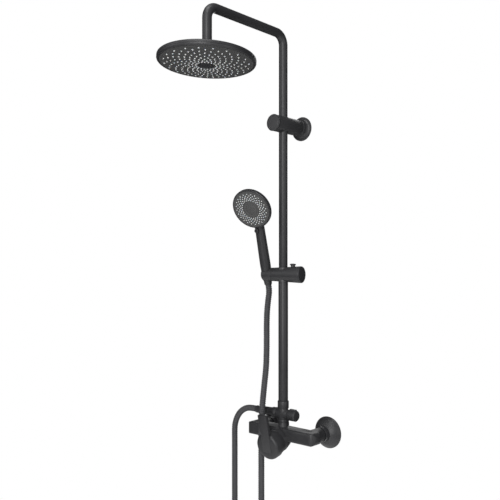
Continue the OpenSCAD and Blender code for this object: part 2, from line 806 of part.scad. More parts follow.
module hose_top_washer() {
    color(soft_black) at_socket() ring(washer_r, 5.6, -8, -6.1);
}

// Catmull-Rom point between b and c, at t from 0 to 1
function glide(a, b, c, d, t) =
    0.5 * ((2 * b) + (c - a) * t + (2 * a - 5 * b + 4 * c - d) * pow(t, 2) + (3 * b - a - 3 * c + d) * pow(t, 3));

function clamp_index(p, i) = p[max(0, min(len(p) - 1, i))];

// The route with one more point midway between each two of its own
function smooth_route(p) = [
    for (i = [0 : len(p) - 2], t = [0, 0.5])
        glide(clamp_index(p, i - 1), p[i], p[i + 1], clamp_index(p, i + 2), t),
    p[len(p) - 1]
];

function unit(v) = v / norm(v);

function heading(p, i) = unit(clamp_index(p, i + 1) - clamp_index(p, i - 1));

// Side vectors carried along the route without twist
function side_vectors(p, i = 0, last = [0, 1, 0], done = []) =
    i == len(p) ? done
    : let (h = heading(p, i), s = unit(last - h * (last * h)))
        side_vectors(p, i + 1, s, concat(done, [s]));

module tube(p, r, sides) {
    side = side_vectors(p);
    rings = len(p);
    points = [
        for (i = [0 : rings - 1], k = [0 : sides - 1])
            let (a = 360 * k / sides, h = heading(p, i), s = side[i])
                p[i] + r * (cos(a) * s + sin(a) * cross(h, s))
    ];
    walls = [
        for (i = [0 : rings - 2], k = [0 : sides - 1])
            let (a = i * sides + k, b = i * sides + (k + 1) % sides)
                [a, a + sides, b + sides, b]
    ];
    first = [for (k = [0 : sides - 1]) k];
    last = [for (k = [sides - 1 : -1 : 0]) (rings - 1) * sides + k];
    polyhedron(points = points, faces = concat([first], walls, [last]), convexity = 10);
}

module hose() {
    color(black) tube(smooth_route(hose_route), hose_d / 2, 10);
}

mixer_body();
inlet_union(-1);  // inlet_union_left
inlet_union(1);  // inlet_union_right
inlet_nut(-1);  // inlet_nut_left
inlet_nut(1);  // inlet_nut_right
inlet_washer(-1);  // inlet_washer_left
inlet_washer(1);  // inlet_washer_right
inlet_rose(-1);  // inlet_rose_left
inlet_rose(1);  // inlet_rose_right
cartridge();
cartridge_nut();
cartridge_shroud();
cartridge_rotor();
stem_pin();
cartridge_stem();
mixer_lever();
lever_set_screw();
diverter_body();
diverter_lower_nut();
diverter_upper_nut();
diverter_spindle();
diverter_seal();
diverter_knob();
lower_tube();
tube_coupling();
coupling_seals();
upper_tube();
bracket_rose();
bracket_anchor();
bracket_barrel();
bracket_sleeve();
bracket_cap();
bracket_grub_screw();
swivel_nut();
ball_seat();
swivel_ball();
head_shell();
head_nozzle_mat();
head_face();
head_disc();
slider_bush();
slider_barrel();
slider_cap();
slider_button();
slider_spring();
holder();
holder_axle();
hand_shell();
hand_nozzle_mat();
hand_face();
hand_disc();
hand_selector();
hand_nipple();
hose_top_nut();
hose_top_washer();
hose_low_nut();
hose_low_washer();
hose();
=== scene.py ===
"""Looks of the rainfall shower column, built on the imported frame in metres, +Z up, -Y into the room."""

import json
import logging
import math
from dataclasses import dataclass
from enum import Enum
from typing import Iterable, Sequence

import bmesh
import bpy
import numpy as np
from mathutils import Matrix, Vector


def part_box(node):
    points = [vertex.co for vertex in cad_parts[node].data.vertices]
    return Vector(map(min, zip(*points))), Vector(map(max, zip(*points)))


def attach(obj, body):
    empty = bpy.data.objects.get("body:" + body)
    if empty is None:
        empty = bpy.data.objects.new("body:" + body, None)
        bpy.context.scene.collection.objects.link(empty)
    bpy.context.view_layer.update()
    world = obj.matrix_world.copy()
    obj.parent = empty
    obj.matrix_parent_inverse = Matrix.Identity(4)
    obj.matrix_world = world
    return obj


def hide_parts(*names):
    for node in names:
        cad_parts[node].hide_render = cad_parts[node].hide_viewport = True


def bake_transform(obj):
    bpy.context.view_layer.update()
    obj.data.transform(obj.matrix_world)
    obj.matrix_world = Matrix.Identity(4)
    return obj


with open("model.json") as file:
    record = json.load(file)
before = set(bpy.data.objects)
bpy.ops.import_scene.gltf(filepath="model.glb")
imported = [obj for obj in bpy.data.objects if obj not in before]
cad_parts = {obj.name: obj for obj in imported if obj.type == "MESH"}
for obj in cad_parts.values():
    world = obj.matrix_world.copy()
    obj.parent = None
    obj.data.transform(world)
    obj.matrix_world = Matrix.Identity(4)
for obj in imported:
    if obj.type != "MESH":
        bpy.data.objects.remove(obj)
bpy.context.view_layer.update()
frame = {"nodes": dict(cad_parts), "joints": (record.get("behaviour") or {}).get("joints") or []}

LOG = logging.getLogger("shower_column")
MM = 0.001
# Edges sharper than these degrees are rounded
SHARP_ANGLE = 28.0
# Faces that meet at less than these degrees are smoothed together, on edged pieces, on nozzles
# and on round pieces
EDGE_ANGLE = 32
SMALL_PIECE_ANGLE = 35
ROUND_ANGLE = 60
# The noise between these two values runs from a finish's dark end to its light end
NOISE_LOW = 0.36
NOISE_HIGH = 0.64
GRAIN_SHARE = 0.35
# CAD faces that meet at less than these degrees become one
FLAT_ANGLE = 0.6
# Points closer than these metres are merged, on a closed turning and on a CAD copy
RING_MERGE = 1e-7
CAD_MERGE = 2e-6
Colour = tuple[float, float, float]
Profile = Sequence[tuple[float, float]]


class Body(Enum):
    """The moving bodies that pieces ride on."""

    COLUMN = "column"
    ROTOR = "rotor"
    LEVER = "lever"
    DIVERTER = "diverter_control"
    CUP = "ball_cup"
    RAIN_HEAD = "rain_head"
    BUSH = "slide_bush"
    SLIDER = "slider"
    BUTTON = "button"
    HOLDER = "holder"
    HAND = "hand_shower"
    SELECTOR = "spray_selector"


# Finishes -------------------------------------------------------------------------


@dataclass(frozen=True)
class Finish:
    """A sprayed, moulded or machined surface.

    dark and light are the two ends of its faint mottling, gloss the lowest and highest roughness,
    mottle and grain the patterns per metre, depth the grain's height in metres, stretch how much
    finer the patterns are along each axis, and glow the light that it gives off.
    """

    name: str
    slot: str
    dark: Colour
    light: Colour
    gloss: tuple[float, float]
    mottle: float = 18.0
    grain: float = 2600.0
    depth: float = 0.00003
    metallic: float = 0.0
    specular: float = 0.5
    subsurface: float = 0.0
    glow: float = 0.0
    stretch: Colour = (1.0, 1.0, 1.0)

    def material(self) -> bpy.types.Material:
        """Builds the material once and returns it.

        Returns:
            The material named after this finish.
        """
        made = bpy.data.materials.get(self.name)
        if made:
            return made
        made = bpy.data.materials.new(self.name)
        made.use_nodes = True
        tree = made.node_tree
        shader = tree.nodes["Principled BSDF"]
        shader.inputs["Metallic"].default_value = self.metallic
        shader.inputs["Specular IOR Level"].default_value = self.specular
        shader.inputs["Subsurface Weight"].default_value = self.subsurface
        shader.inputs["Emission Color"].default_value = (1.0, 1.0, 1.0, 1.0)
        shader.inputs["Emission Strength"].default_value = self.glow
        place = tree.nodes.new("ShaderNodeTexCoord")
        turn = tree.nodes.new("ShaderNodeMapping")
        turn.inputs["Scale"].default_value = self.stretch
        tree.links.new(place.outputs["Object"], turn.inputs["Vector"])
        broad = self.noise(tree, turn, self.mottle, 4.0)
        fine = self.noise(tree, turn, self.grain, 2.0)
        both = tree.nodes.new("ShaderNodeMix")
        both.data_type = "FLOAT"
        both.inputs[0].default_value = GRAIN_SHARE
        tree.links.new(broad.outputs["Fac"], both.inputs[2])
        tree.links.new(fine.outputs["Fac"], both.inputs[3])
        ramp = tree.nodes.new("ShaderNodeValToRGB")
        ramp.color_ramp.elements[0].position = NOISE_LOW
        ramp.color_ramp.elements[1].position = NOISE_HIGH
        ramp.color_ramp.elements[0].color = (*self.dark, 1.0)
        ramp.color_ramp.elements[1].color = (*self.light, 1.0)
        tree.links.new(both.outputs[0], ramp.inputs["Fac"])
        tree.links.new(ramp.outputs["Color"], shader.inputs["Base Color"])
        rough = tree.nodes.new("ShaderNodeMapRange")
        rough.inputs["From Min"].default_value = NOISE_LOW
        rough.inputs["From Max"].default_value = NOISE_HIGH
        rough.inputs["To Min"].default_value = self.gloss[0]
        rough.inputs["To Max"].default_value = self.gloss[1]
        tree.links.new(both.outputs[0], rough.inputs["Value"])
        tree.links.new(rough.outputs["Result"], shader.inputs["Roughness"])
        bump = tree.nodes.new("ShaderNodeBump")
        bump.inputs["Strength"].default_value = 1.0
        bump.inputs["Distance"].default_value = self.depth
        tree.links.new(fine.outputs["Fac"], bump.inputs["Height"])
        tree.links.new(bump.outputs["Normal"], shader.inputs["Normal"])
        return made

    @staticmethod
    def noise(tree: bpy.types.NodeTree, turn: bpy.types.Node, scale: float,
        detail: float) -> bpy.types.Node:
        """Adds a noise pattern that reads the turned coordinates.

        Args:
            tree: the material's nodes.
            turn: the Mapping node.
            scale: patterns per metre.
            detail: octaves.

        Returns:
            The noise node.
        """
        node = tree.nodes.new("ShaderNodeTexNoise")
        node.inputs["Scale"].default_value = scale
        node.inputs["Detail"].default_value = detail
        tree.links.new(turn.outputs["Vector"], node.inputs["Vector"])
        return node


@dataclass(frozen=True)
class HoseCover(Finish):
    """The hose's wound cover, with painted shade that turns its grooves nearly black and leaves its
    ridges plain.
    """

    def material(self) -> bpy.types.Material:
        """Adds painted shade in the winding's grooves to the plain finish.

        Returns:
            The cover's material.
        """
        known = self.name in bpy.data.materials
        made = super().material()
        if known:
            return made
        tree = made.node_tree
        shader = tree.nodes["Principled BSDF"]
        ridge = tree.nodes.new("ShaderNodeAttribute")
        ridge.attribute_name = "ridge"
        painted_groove_shade = tree.nodes.new("ShaderNodeMix")
        painted_groove_shade.data_type = "RGBA"
        plain = shader.inputs["Base Color"].links[0].from_socket
        # Painted shade: near-black colour in the grooves, faded out towards the ridges by the ridge
        # attribute
        painted_groove_shade.inputs[6].default_value = (0.002, 0.002, 0.002, 1.0)
        tree.links.new(ridge.outputs["Fac"], painted_groove_shade.inputs[0])
        tree.links.new(plain, painted_groove_shade.inputs[7])
        tree.links.new(painted_groove_shade.outputs[2], shader.inputs["Base Color"])
        return made


BLACK_PAINT = Finish("black_paint", "black_metal", (0.022, 0.022, 0.0235), (0.028, 0.028, 0.030),
    (0.40, 0.48), specular=0.36)
BLACK_SATIN = Finish("black_satin", "black_metal", (0.021, 0.021, 0.0225), (0.027, 0.027, 0.029),
    (0.32, 0.40), depth=0.00002, specular=0.36)
BLACK_SHELL = Finish("black_shell", "black_plastic", (0.023, 0.023, 0.0245), (0.029, 0.029, 0.031),
    (0.38, 0.46), grain=2200.0, specular=0.34)
SPRAY_PLATE = Finish("spray_plate", "spray_plate", (0.010, 0.010, 0.011), (0.015, 0.015, 0.016),
    (0.45, 0.58), grain=1500.0, depth=0.00005, specular=0.28)
NOZZLE = Finish("nozzle_silicone", "light_silicone", (0.62, 0.62, 0.61), (0.74, 0.74, 0.73),
    (0.45, 0.6), mottle=60.0, subsurface=0.1)
SEAL = Finish("seal_rubber", "seal_rubber", (0.012, 0.012, 0.012), (0.02, 0.02, 0.02), (0.6, 0.75),
    grain=1800.0)
NYLON = Finish("bush_nylon", "nylon", (0.03, 0.03, 0.031), (0.045, 0.045, 0.047), (0.4, 0.5))
PALE_PLASTIC = Finish("pale_plastic", "pale_plastic", (0.68, 0.68, 0.65), (0.76, 0.76, 0.73),
    (0.35, 0.45), subsurface=0.05)
BRASS = Finish("turned_brass", "brass", (0.62, 0.45, 0.20), (0.74, 0.56, 0.28), (0.22, 0.36),
    metallic=1.0, grain=900.0, stretch=(1.0, 8.0, 1.0))
STEEL = Finish("drawn_steel", "steel", (0.46, 0.47, 0.48), (0.60, 0.61, 0.63), (0.24, 0.38),
    metallic=1.0, grain=1200.0, stretch=(1.0, 1.0, 9.0))
# The hose cover also gets painted shade in its grooves, from HoseCover
HOSE_COVER = HoseCover("hose_cover", "hose_cover", (0.018, 0.018, 0.019), (0.024, 0.024, 0.026),
    (0.26, 0.34), grain=1200.0, specular=0.22)
FLOOR = Finish("studio_floor", "", (0.90, 0.90, 0.90), (0.92, 0.92, 0.92), (0.7, 0.8), mottle=2.0,
    grain=60.0, depth=0.0001, glow=0.45)


# Tools ----------------------------------------------------------------------------


def deselect() -> None:
    """Leaves edit mode and deselects everything."""
    if bpy.context.object and bpy.context.object.mode != "OBJECT":
        bpy.ops.object.mode_set(mode="OBJECT")
    bpy.ops.object.select_all(action="DESELECT")


def activate(*objects: bpy.types.Object) -> bpy.types.Object:
    """Selects only these objects and makes the first one active.

    Args:
        objects: what the next operator works on.

    Returns:
        The first object.
    """
    deselect()
    for obj in objects:
        obj.select_set(True)
    bpy.context.view_layer.objects.active = objects[0]
    return objects[0]


def axes_at(origin: Sequence[float], x_axis: Sequence[float], z_axis: Sequence[float]) -> Matrix:
    """Makes the place of a sub-assembly's own axes.

    Args:
        origin: where they meet, in metres.
        x_axis: the direction of their X.
        z_axis: the direction of their Z.

    Returns:
        The matrix from those axes to the row frame.
    """
    z, x = Vector(z_axis).normalized(), Vector(x_axis).normalized()
    y = z.cross(x).normalized()
    x = y.cross(z)
    made = Matrix((x, y, z)).transposed().to_4x4()
    made.translation = Vector(origin)
    return made


def joint(name: str) -> dict:
    """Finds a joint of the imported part.

    Args:
        name: the joint's name.

    Returns:
        The joint, as the frame lists it.
    """
    return next(j for j in frame["joints"] if j["name"] == name)


def placed(obj: bpy.types.Object, place: Matrix) -> bpy.types.Object:
    """Moves a piece into the row frame and leaves its object at the origin.

    Args:
        obj: a piece drawn about its own axes.
        place: where those axes are.

    Returns:
        The same piece.
    """
    activate(obj)
    obj.matrix_world = place
    bpy.ops.object.transform_apply(location=True, rotation=True, scale=True)
    return obj


def joined(name: str, objects: Sequence[bpy.types.Object]) -> bpy.types.Object:
    """Joins objects into one mesh of that name.

    Args:
        name: the joined piece's name.
        objects: what is joined.

    Returns:
        The joined piece.
    """
    activate(*objects)
    if len(objects) > 1:
        bpy.ops.object.join()
    made = bpy.context.object
    made.name = name
    return made


def softened(obj: bpy.types.Object, width: float, segments: int = 3) -> bpy.types.Object:
    """Rounds a piece's hard edges and smooths what is left.

    Args:
        obj: the piece.
        width: the rounding, in mm.
        segments: faces across it.

    Returns:
        The same piece.
    """
    activate(obj)
    if width > 0:
        edge = obj.modifiers.new("edge", "BEVEL")
        edge.width = width * MM
        edge.segments = segments
        edge.limit_method = "ANGLE"
        edge.angle_limit = math.radians(SHARP_ANGLE)
        edge.miter_outer = "MITER_ARC"
        bpy.ops.object.modifier_apply(modifier=edge.name)
    bpy.ops.object.shade_smooth_by_angle(angle=math.radians(EDGE_ANGLE))
    return obj


def turned(name: str, profile: Profile, sides: int = 96, ring: bool = False) -> bpy.types.Object:
    """Turns a profile about Z by pulling a circle from step to step.

    Args:
        name: the piece's name.
        profile: (radius, height) steps in mm.
        sides: faces round the turning.
        ring: True if the profile closes on itself; otherwise both ends are filled.

    Returns:
        The turned piece, about its own Z.
    """
    deselect()
    steps = [*profile, profile[0]] if ring else list(profile)
    bpy.ops.mesh.primitive_circle_add(
        vertices=sides, radius=steps[0][0] * MM, fill_type="NOTHING", location=(0, 0, steps[0][1] * MM)
    )
    made = bpy.context.object
    made.name = name
    bpy.ops.object.transform_apply(location=True, rotation=True, scale=True)
    bpy.ops.object.mode_set(mode="EDIT")
    bpy.ops.mesh.select_all(action="SELECT")
    for (r_a, z_a), (r_b, z_b) in zip(steps, steps[1:]):
        bpy.ops.mesh.extrude_edges_move(TRANSFORM_OT_translate={"value": (0, 0, (z_b - z_a) * MM)})
        if abs(r_b - r_a) > 1e-9:
            grow = r_b / r_a
            bpy.ops.transform.resize(value=(grow, grow, 1), center_override=(0, 0, z_b * MM))
    bpy.ops.mesh.select_all(action="SELECT")
    if ring:
        bpy.ops.mesh.remove_doubles(threshold=RING_MERGE)
    else:
        bpy.ops.mesh.fill_holes(sides=0)
    bpy.ops.mesh.normals_make_consistent(inside=False)
    bpy.ops.object.mode_set(mode="OBJECT")
    return made


def block(name: str, size: Sequence[float], centre: Sequence[float], upright: float,
    radius: float) -> bpy.types.Object:
    """Makes a bar with its upright edges rounded first.

    Args:
        name: the piece's name.
        size: its width, depth and height in mm.
        centre: its middle in mm.
        upright: the rounding of the edges along its own Z, in mm.
        radius: the rounding of all other edges, in mm.

    Returns:
        The bar, about its own axes.
    """
    deselect()
    bpy.ops.mesh.primitive_cube_add(size=1.0, location=[c * MM for c in centre],
        scale=[s * MM for s in size])
    made = bpy.context.object
    made.name = name
    bpy.ops.object.transform_apply(location=True, rotation=True, scale=True)
    bpy.ops.object.mode_set(mode="EDIT")
    bpy.ops.mesh.select_all(action="DESELECT")
    cage = bmesh.from_edit_mesh(made.data)
    for edge in cage.edges:
        along = edge.verts[1].co - edge.verts[0].co
        edge.select = abs(along.z) > 0.9 * along.length
    bmesh.update_edit_mesh(made.data)
    bpy.ops.mesh.bevel(offset=upright * MM, segments=10)
    bpy.ops.object.mode_set(mode="OBJECT")
    return softened(made, radius)


def refined(node: str, name: str, width: float) -> bpy.types.Object:
    """Copies a hard CAD part, merges it and rounds its edges.

    Args:
        node: the CAD node.
        name: the copy's name.
        width: the rounding of its edges, in mm.

    Returns:
        The copy, in place.
    """
    made = bpy.data.objects.new(name, frame["nodes"][node].data.copy())
    bpy.context.scene.collection.objects.link(made)
    made.data.materials.clear()
    activate(made)
    bpy.ops.object.mode_set(mode="EDIT")
    bpy.ops.mesh.select_all(action="SELECT")
    bpy.ops.mesh.remove_doubles(threshold=CAD_MERGE)
    bpy.ops.mesh.customdata_custom_splitnormals_clear()
    bpy.ops.mesh.dissolve_limited(angle_limit=math.radians(FLAT_ANGLE))
    bpy.ops.object.mode_set(mode="OBJECT")
    return softened(made, width, segments=2)


def copies(source: bpy.types.Object, name: str, places: Iterable[Matrix]) -> bpy.types.Object:
    """Sets one copy of a small piece at each place and joins them.

    Args:
        source: the piece that repeats; it is removed.
        name: the joined piece's name.
        places: where the copies go.

    Returns:
        The joined piece.
    """
    cage = bmesh.new()
    for place in places:
        copy = source.data.copy()
        copy.transform(place)
        cage.from_mesh(copy)
        bpy.data.meshes.remove(copy)
    mesh = bpy.data.meshes.new(name)
    cage.to_mesh(mesh)
    cage.free()
    bpy.data.objects.remove(source)
    made = bpy.data.objects.new(name, mesh)
    bpy.context.scene.collection.objects.link(made)
    activate(made)
    bpy.ops.object.shade_smooth_by_angle(angle=math.radians(SMALL_PIECE_ANGLE))
    return made


def fitted(obj: bpy.types.Object, body: Body, finish: Finish,
    stands_for: Sequence[str] = ()) -> bpy.types.Object:
    """Finishes a piece, sets it on its body and hides the CAD parts it stands for.

    Args:
        obj: the piece, in place.
        body: what it moves with.
        finish: its surface.
        stands_for: CAD nodes that it replaces.

    Returns:
        The same piece.
    """
    obj.data.materials.clear()
    obj.data.materials.append(finish.material())
    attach(obj, body.value)
    if stands_for:
        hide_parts(*stands_for)
    LOG.info("%s on %s: %d faces, %s", obj.name, body.value, len(obj.data.polygons), finish.name)
    return obj


def dress(finish: Finish, *nodes: str) -> None:
    """Gives CAD parts that stay their finish.

    Args:
        finish: the surface.
        nodes: the CAD nodes.
    """
    for node in nodes:
        obj = frame["nodes"][node]
        obj.data.materials.clear()
        obj.data.materials.append(finish.material())
        LOG.info("%s keeps its CAD shape, %s", node, finish.name)


# Places that the joints give
BALL = Vector(joint("head_tilt")["pos_m"])
LEVER_AXES = axes_at(joint("lever_temp")["pos_m"], (1, 0, 0), joint("lever_temp")["axis"])
SLIDER_AXES = axes_at(joint("holder_tilt")["pos_m"], joint("holder_tilt")["axis"], (0, 0, 1))
STAND_OFF = -SLIDER_AXES.translation.y / MM


def wall_axes(x: float, z: float) -> Matrix:
    """Makes axes on the wall, Z into the room and Y up.

    Args:
        x: how far they are to the right of the middle, in metres.
        z: how high they are, in metres.

    Returns:
        The matrix from those axes to the row frame.
    """
    return axes_at((x, 0, z), (1, 0, 0), (0, -1, 0))


# Sub-assemblies -------------------------------------------------------------------


@dataclass
class BarMixer:
    """The mixer's bar with its inlets, roses and cartridge cover."""

    inlet_x: float = 0.075
    rose_r: float = 36.0
    rose_depth: float = 23.0
    nut_r: float = 17.0

    def rose_profile(self) -> list[tuple[float, float]]:
        """Draws a rose's dome, from its lip over the crown to the nut's hole and back inside.

        Returns:
            (radius, height) steps in mm.
        """
        ball = (self.rose_r**2 + self.rose_depth**2) / (2 * self.rose_depth)
        low = self.rose_depth - ball
        outer = [(self.rose_r - 1.2, 0.0), (self.rose_r, 0.5), (self.rose_r + 0.1, 1.4)]
        top = math.sqrt(ball**2 - (self.nut_r + 0.6) ** 2) + low
        for k in range(1, 15):
            z = 1.4 + (top - 1.4) * math.sin(math.radians(90 * k / 14))
            outer.append((math.sqrt(max(ball**2 - (z - low) ** 2, 1.0)), z))
        outer += [(self.nut_r + 0.15, top - 0.3), (self.nut_r + 0.15, top - 2.0)]
        inner = [(r - 1.8, z - 1.4) for r, z in outer[4:-3:3]][::-1]
        return outer + inner + [(self.rose_r - 2.4, 0.0)]

    def build(self) -> None:
        """Builds and dresses the mixer."""
        fitted(refined("mixer_body", "mixer_bar", 1.2), Body.COLUMN, BLACK_PAINT, ["mixer_body"])
        for side, sign in (("left", -1), ("right", 1)):
            rose = placed(turned(f"rose_{side}", self.rose_profile(), ring=True),
                wall_axes(sign * self.inlet_x, 0))
            softened(rose, 0)
            fitted(rose, Body.COLUMN, BLACK_PAINT, [f"inlet_rose_{side}"])
            fitted(refined(f"inlet_nut_{side}", f"nut_{side}", 0.8), Body.COLUMN, BLACK_SATIN,
                [f"inlet_nut_{side}"])
            dress(BRASS, f"inlet_union_{side}")
            dress(SEAL, f"inlet_washer_{side}")
        fitted(refined("cartridge_shroud", "cartridge_cover", 0.4), Body.COLUMN, BLACK_SATIN,
            ["cartridge_shroud"])
        dress(PALE_PLASTIC, "cartridge", "cartridge_rotor")
        dress(BRASS, "cartridge_nut")
        dress(STEEL, "stem_pin")


@dataclass
class MixerLever:
    """The round cap with its skirt and the flat blade that rises from it."""

    cap_r: float = 30.5
    skirt_r: float = 28.8
    back: float = 39.5
    front: float = 60.0
    blade_w: float = 24.0
    blade_len: float = 75.0
    blade_t: float = 9.0

    def build(self) -> None:
        """Builds and dresses the lever."""
        profile = [
            (self.skirt_r, self.back + 11), (self.skirt_r, self.back + 0.8),
            (self.skirt_r + 0.5, self.back),
            (self.cap_r - 0.5, self.back), (self.cap_r, self.back + 0.6),
            (self.cap_r, self.front - 6.5),
            (self.cap_r - 0.5, self.front - 4.2), (self.cap_r - 1.7, self.front - 2.2),
            (self.cap_r - 3.6, self.front - 0.8),
            (self.cap_r - 6.0, self.front - 0.15), (self.cap_r - 12.0, self.front), (6.0, self.front),
        ]
        cap = softened(placed(turned("lever_cap", profile, sides=128), LEVER_AXES), 0)
        fitted(cap, Body.LEVER, BLACK_PAINT, ["mixer_lever"])
        blade = block(
            "lever_blade", (self.blade_w, self.blade_len + self.blade_w / 2, self.blade_t),
            (0, (self.blade_len - self.blade_w / 2) / 2, self.front - 8 + self.blade_t / 2),
            self.blade_w / 2 - 0.1, 1.3,
        )
        fitted(placed(blade, LEVER_AXES), Body.LEVER, BLACK_PAINT)
        dress(BRASS, "cartridge_stem")
        dress(STEEL, "lever_set_screw")


@dataclass
class Diverter:
    """The diverter under the riser, its nuts and its knob."""

    def build(self) -> None:
        """Builds and dresses the diverter."""
        for node, name, width, finish in (
            ("diverter_body", "diverter_housing", 0.9, BLACK_PAINT),
            ("diverter_lower_nut", "diverter_ring_low", 0.5, BLACK_SATIN),
            ("diverter_upper_nut", "diverter_collar", 0.9, BLACK_PAINT),
        ):
            fitted(refined(node, name, width), Body.COLUMN, finish, [node])
        fitted(refined("diverter_knob", "diverter_handle", 1.0), Body.DIVERTER, BLACK_PAINT,
            ["diverter_knob"])
        dress(BRASS, "diverter_spindle")
        dress(SEAL, "diverter_seal")


@dataclass
class Riser:
    """Both tubes, the arm with its bends, and the coupling inside them."""

    def build(self) -> None:
        """Builds and dresses the riser."""
        fitted(refined("upper_tube", "riser_and_arm", 0.2), Body.COLUMN, BLACK_PAINT, ["upper_tube"])
        fitted(refined("lower_tube", "riser_low", 0.2), Body.COLUMN, BLACK_PAINT, ["lower_tube"])
        dress(BRASS, "tube_coupling")
        dress(SEAL, "coupling_seals")


@dataclass
class WallBracket:
    """The bell-shaped rose, barrel and cap that hold the riser."""

    foot: float = 28.0
    neck: float = 18.5
    hole: float = 10.5
    flare_z: float = 4.0
    top_z: float = 18.0

    def build(self) -> None:
        """Builds and dresses the bracket."""
        height = sum(c.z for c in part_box("bracket_barrel")) / 2
        sweep = self.foot - self.neck - 1
        bell = [(self.foot - 0.8, 0.0), (self.foot, 0.8), (self.foot, 3.0), (self.foot - 0.5, 3.8)]
        for k in range(1, 13):
            a = math.radians(90 * k / 12)
            bell.append((self.foot - sweep * math.sin(a), self.flare_z + sweep * (1 - math.cos(a))))
        bell += [(self.neck + 1, self.top_z - 0.6), (self.neck + 0.4, self.top_z),
            (self.hole, self.top_z), (self.hole, 3.0), (self.neck - 2.0, 3.0), (self.neck - 2.0, 0.0)]
        rose = softened(placed(turned("bracket_bell", bell, ring=True), wall_axes(0, height)), 0)
        fitted(rose, Body.COLUMN, BLACK_PAINT, ["bracket_rose"])
        fitted(refined("bracket_barrel", "bracket_hub", 0.8), Body.COLUMN, BLACK_PAINT,
            ["bracket_barrel"])
        face = -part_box("bracket_cap")[0].y / MM
        plate = [
            (9.0, face - 7.3), (self.neck - 0.2, face - 7.2), (self.neck, face - 4.1),
            (self.neck + 0.2, face - 3.6), (self.neck + 0.5, face - 1.4),
            (self.neck, face - 0.4), (self.neck - 1.2, face), (self.neck - 3.4, face),
            (self.neck - 3.8, face - 0.4),
            (self.neck - 4.2, face - 0.4), (self.neck - 4.6, face - 0.1), (6.0, face + 0.1),
        ]
        cap = softened(placed(turned("bracket_end", plate), wall_axes(0, height)), 0)
        fitted(cap, Body.COLUMN, BLACK_SATIN, ["bracket_cap"])
        dress(NYLON, "bracket_sleeve")
        dress(STEEL, "bracket_anchor", "bracket_grub_screw")


@dataclass
class SprayNozzle:
    """One soft nozzle: a collar, a short cone and its mouth."""

    scale: float = 1.0

    def profile(self) -> list[tuple[float, float]]:
        """Draws the nozzle, from its collar to inside its mouth.

        Returns:
            (radius, height) steps in mm.
        """
        k = self.scale
        return [(1.75 * k, -0.3), (1.75 * k, 0.25), (1.3 * k, 0.5), (1.05 * k, 1.5 * k),
            (0.6 * k, 1.55 * k), (0.45 * k, 0.7 * k)]

    def field(self, name: str, spots: Iterable[tuple[float, float, float, float]],
        axes: Matrix) -> bpy.types.Object:
        """Sets a nozzle at each spot.

        Args:
            name: the joined piece's name.
            spots: x, y, z in mm and the lean away from Z, in radians, of each.
            axes: where the spray face's own axes are; nozzles point along its Z.

        Returns:
            The joined nozzles.
        """
        one = turned("nozzle", self.profile(), sides=9)
        places = []
        for x, y, z, lean in spots:
            outward = Vector((x, y, 0)).normalized()
            spin = Matrix.Rotation(lean, 4, Vector((0, 0, 1)).cross(outward))
            places.append(axes @ Matrix.Translation(Vector((x, y, z)) * MM) @ spin)
        return copies(one, name, places)


